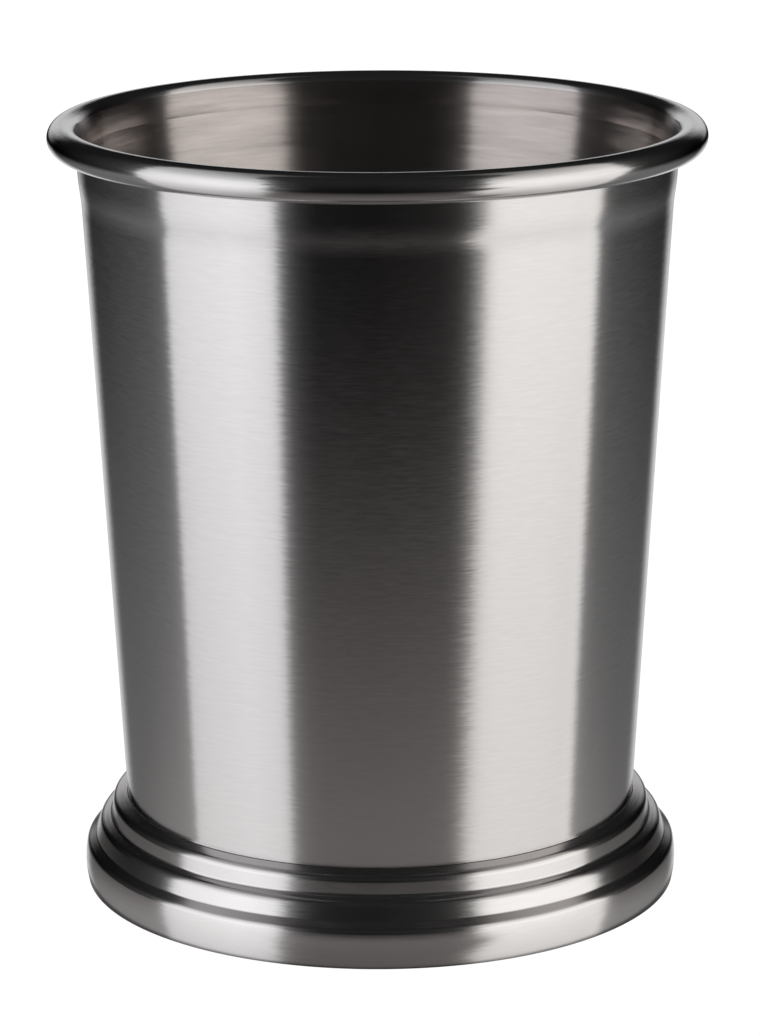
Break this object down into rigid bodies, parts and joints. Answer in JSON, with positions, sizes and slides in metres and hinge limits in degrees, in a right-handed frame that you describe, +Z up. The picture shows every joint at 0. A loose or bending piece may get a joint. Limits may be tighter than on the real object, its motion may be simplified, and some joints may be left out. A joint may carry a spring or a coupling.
{
  "type": "julep cup",
  "caption": "Tapered brushed stainless steel drinking cup with a rolled rim, soldered into a stepped moulded foot that it stands on.",
  "frame": {"origin": "on the cup's axis, on the surface that the foot stands on", "axes": "+Z up along the cup's axis; the cup is round, so +X and +Y are free"},
  "size_m": [0.09, 0.09, 0.1075],
  "materials": {
    "cup_steel": "satin, brushed round the axis",
    "foot_steel": "satin, brushed round the axis, with the mouldings a little brighter",
    "solder": "dull solder"
  },
  "bodies": {
    "root": {"cup_body": "cup_steel", "foot_ring": "foot_steel", "upper_solder_seam": "solder", "lower_solder_seam": "solder"}
  },
  "joints": []
}
